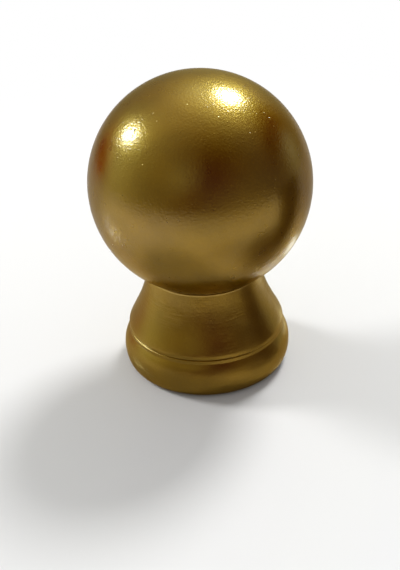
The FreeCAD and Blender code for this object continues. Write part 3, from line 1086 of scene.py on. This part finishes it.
# %% The room, as soft patches of light by direction
ROOM = [  # azimuth, elevation, how wide in degrees, colour added
    (0, 90, 35, (-0.12, -0.18, -0.14)),
    (180, 60, 35, (0.50, 0.44, 0.34)),
    (180, 20, 28, (0.01, 0.11, 0.13)),
    (150, 55, 20, (1.05, 1.16, 0.66)),
    (164, 54, 10, (0.75, 1.00, 1.05)),
    (151, 27, 10, (0.50, 0.52, 0.42)),
    (-140, 35, 25, (-0.41, -0.48, -0.23)),
    (-110, 60, 25, (0.28, 0.34, 0.16)),
    (-110, 14, 22, (0.62, 0.77, 0.46)),
    (-60, 25, 22, (0.03, 0.01, -0.06)),
    (-20, 28, 10, (0.34, 0.39, 0.18)),
    (-15, 5, 14, (-0.16, -0.19, -0.11)),
    (12, 28, 20, (-0.20, -0.22, -0.05)),
    (45, 25, 24, (0.01, 0.01, -0.01)),
    (45, 65, 25, (-0.20, -0.18, -0.16)),
    (85, 15, 24, (-0.21, -0.19, -0.06)),
    (118, 8, 9, (0.50, 0.70, 0.73)),
    (125, 25, 16, (-0.55, -0.75, -0.73)),
    (-125, 0, 9, (-0.30, -0.98, -0.62)),
]
ROOM_EVEN = (0.37, 0.31, 0.16)
ROOM_DARKEST = (0.02, 0.012, 0.008)
ROOM_PLAIN = (0.42, 0.42, 0.42, 1)


def make_room():
    """The light from a direction: even + the sum of colour * exp((cos a - 1) / width^2).

    Here a is the angle to the middle of each patch, and widths are in radians.
    """
    world = bpy.data.worlds.new("room")
    bpy.context.scene.world = world
    world.use_nodes = True
    world.node_tree.nodes.clear()
    w = Nodes(world.node_tree)
    direction = w.node("TexCoord").outputs["Generated"]
    total = ROOM_EVEN
    for azimuth, elevation, width, colour in ROOM:
        cosine = w.vector("DOT_PRODUCT", direction, towards(azimuth, elevation)).outputs["Value"]
        sharpness = 1 / math.radians(width) ** 2
        bell = w.math("EXPONENT", w.math("MULTIPLY_ADD", cosine, sharpness, -sharpness))
        total = w.vector("MULTIPLY_ADD", colour, bell, total).outputs[0]
    mirrored = w.vector("MAXIMUM", total, ROOM_DARKEST).outputs[0]
    room, plain, white = (
        w.node("Background", {"Color": colour}).outputs[0] for colour in (mirrored, ROOM_PLAIN, (1, 1, 1, 1))
    )
    rays = w.node("LightPath").outputs
    lit = w.node("MixShader", {0: rays["Is Diffuse Ray"], 1: room, 2: plain}).outputs[0]
    seen = w.node("MixShader", {0: rays["Is Camera Ray"], 1: lit, 2: white}).outputs[0]
    w.node("OutputWorld", {"Surface": seen})
    print("room of", len(ROOM), "patches of light")


make_room()

# %% [markdown]
# ## The camera
#
# The ball's round outline, the tilt of the groove's ellipse and the widths of foot and bead
# give the viewpoint: a quarter of a metre away, 26 degrees above the ball, with the camera
# turned two and a half degrees about its own axis, so that the object leans to the left.

# %% Place the camera
FRAME = (400, 570)
FOCAL_PIXELS = 1121
SENSOR = 36  # millimetres along the frame's longer side
CAMERA_DISTANCE = 0.25
CAMERA_ROLL = -2.55
BALL_PIXEL = (200.15, 182.4)


def make_camera():
    """Aims the camera so that the ball's centre falls on its pixel, then rolls it about that line."""
    line = -towards(0, CAMERA_ELEVATION)
    across = line.cross(Vector((0, 0, 1))).normalized()
    up = across.cross(line)
    c, s = math.cos(math.radians(CAMERA_ROLL)), math.sin(math.radians(CAMERA_ROLL))
    world_side = Matrix((c * across + s * up, c * up - s * across, line)).transposed()
    aside = (BALL_PIXEL[0] - FRAME[0] / 2) / FOCAL_PIXELS
    above = (FRAME[1] / 2 - BALL_PIXEL[1]) / FOCAL_PIXELS
    seen = Vector((aside, above, -1)).normalized()
    seen_across = seen.cross(Vector((0, 1, 0))).normalized()
    seen_up = seen_across.cross(seen)
    camera_side = Matrix((seen_across, seen_up, seen)).transposed()
    camera = bpy.data.cameras.new("camera")
    camera.sensor_width = SENSOR
    camera.lens = SENSOR * FOCAL_PIXELS / FRAME[1]
    camera.clip_start, camera.clip_end = 0.01, 10
    holder = bpy.data.objects.new("camera", camera)
    place = BALL_PLACE + CAMERA_DISTANCE * towards(0, CAMERA_ELEVATION)
    holder.matrix_world = Matrix.Translation(place) @ (world_side @ camera_side.transposed()).to_4x4()
    bpy.context.collection.objects.link(holder)
    bpy.context.scene.camera = holder
    print("camera at", [round(v, 4) for v in place], "m, lens", round(camera.lens, 1), "mm")


make_camera()
bpy.context.scene.view_settings.view_transform = "Standard"
